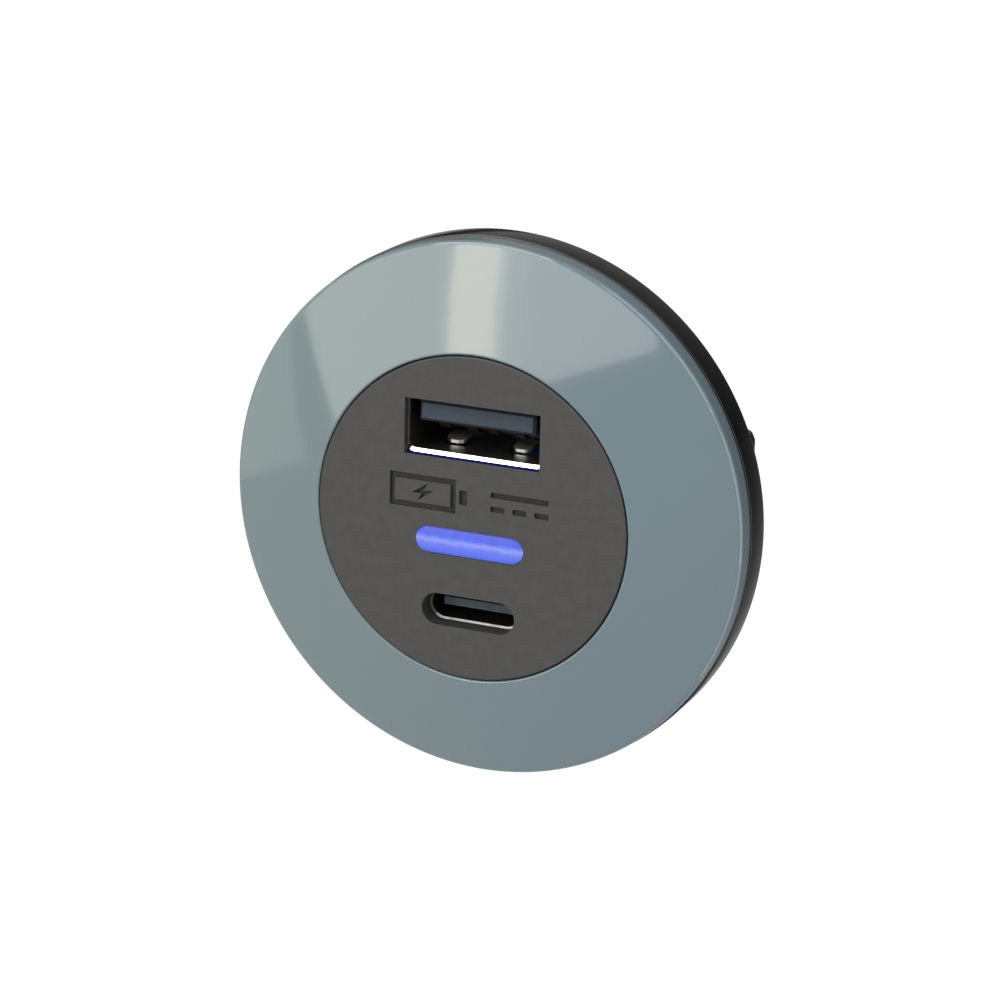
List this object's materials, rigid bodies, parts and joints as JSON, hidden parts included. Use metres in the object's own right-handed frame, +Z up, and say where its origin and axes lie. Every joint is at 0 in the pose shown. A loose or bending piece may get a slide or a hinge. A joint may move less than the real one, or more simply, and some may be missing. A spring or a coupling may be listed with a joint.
{
  "type": "panel usb socket",
  "caption": "Round flush panel charging socket with a large and a small USB outlet, a lit pill, a clipped trim ring, side latch arms and blade terminals behind.",
  "frame": {"origin": "centre of the flange's back face, where it meets the panel, on the barrel's axis", "axes": "front faces -Y, barrel and terminals point to +Y, +Z up with the large outlet above the small one, +X right seen from the front"},
  "size_m": [0.048, 0.0354, 0.048],
  "materials": {
    "trim_gloss": "gloss grey-blue moulding",
    "black_gloss": "gloss black moulding",
    "face_matt": "fine spark-eroded texture",
    "lit_blue": "lit blue diffuser",
    "lamp_body": "cast resin",
    "tinplate": "bright tin plate",
    "insulator": "moulded blue-grey",
    "contact_gold": "gold flash",
    "circuit_board": "green solder mask",
    "chip_black": "moulded epoxy",
    "ferrite": "pressed ferrite",
    "can_aluminium": "drawn can",
    "ceramic_white": "ceramic tube",
    "capacitor_tan": "fired ceramic",
    "terminal_tin": "tinned brass",
    "black_matt": "satin black moulding",
    "screw_steel": "zinc plated"
  },
  "bodies": {
    "root": {"bezel_ring": "trim_gloss", "base_housing": "black_gloss", "face_plate": "face_matt", "light_pipe": "lit_blue", "indicator_led": "lamp_body", "usb_a_shell": "tinplate", "usb_a_insulator": "insulator", "usb_a_contact_1": "contact_gold", "usb_a_contact_2": "contact_gold", "usb_a_contact_3": "contact_gold", "usb_a_contact_4": "contact_gold", "usb_c_shell": "tinplate", "usb_c_insulator": "insulator", "usb_c_contacts_upper": "contact_gold", "usb_c_contacts_lower": "contact_gold", "port_board": "circuit_board", "port_control_chip": "chip_black", "chip_resistors": "chip_black", "header_pins": "contact_gold", "board_header": "chip_black", "converter_board": "circuit_board", "power_inductor": "ferrite", "input_capacitor": "can_aluminium", "converter_chip": "chip_black", "input_fuse": "ceramic_white", "output_capacitor": "capacitor_tan", "input_diode": "chip_black", "chip_capacitors": "capacitor_tan", "terminal_negative": "terminal_tin", "terminal_positive": "terminal_tin", "rear_cover": "black_matt", "port_screws": "screw_steel", "cover_screws": "screw_steel"}
  },
  "joints": []
}
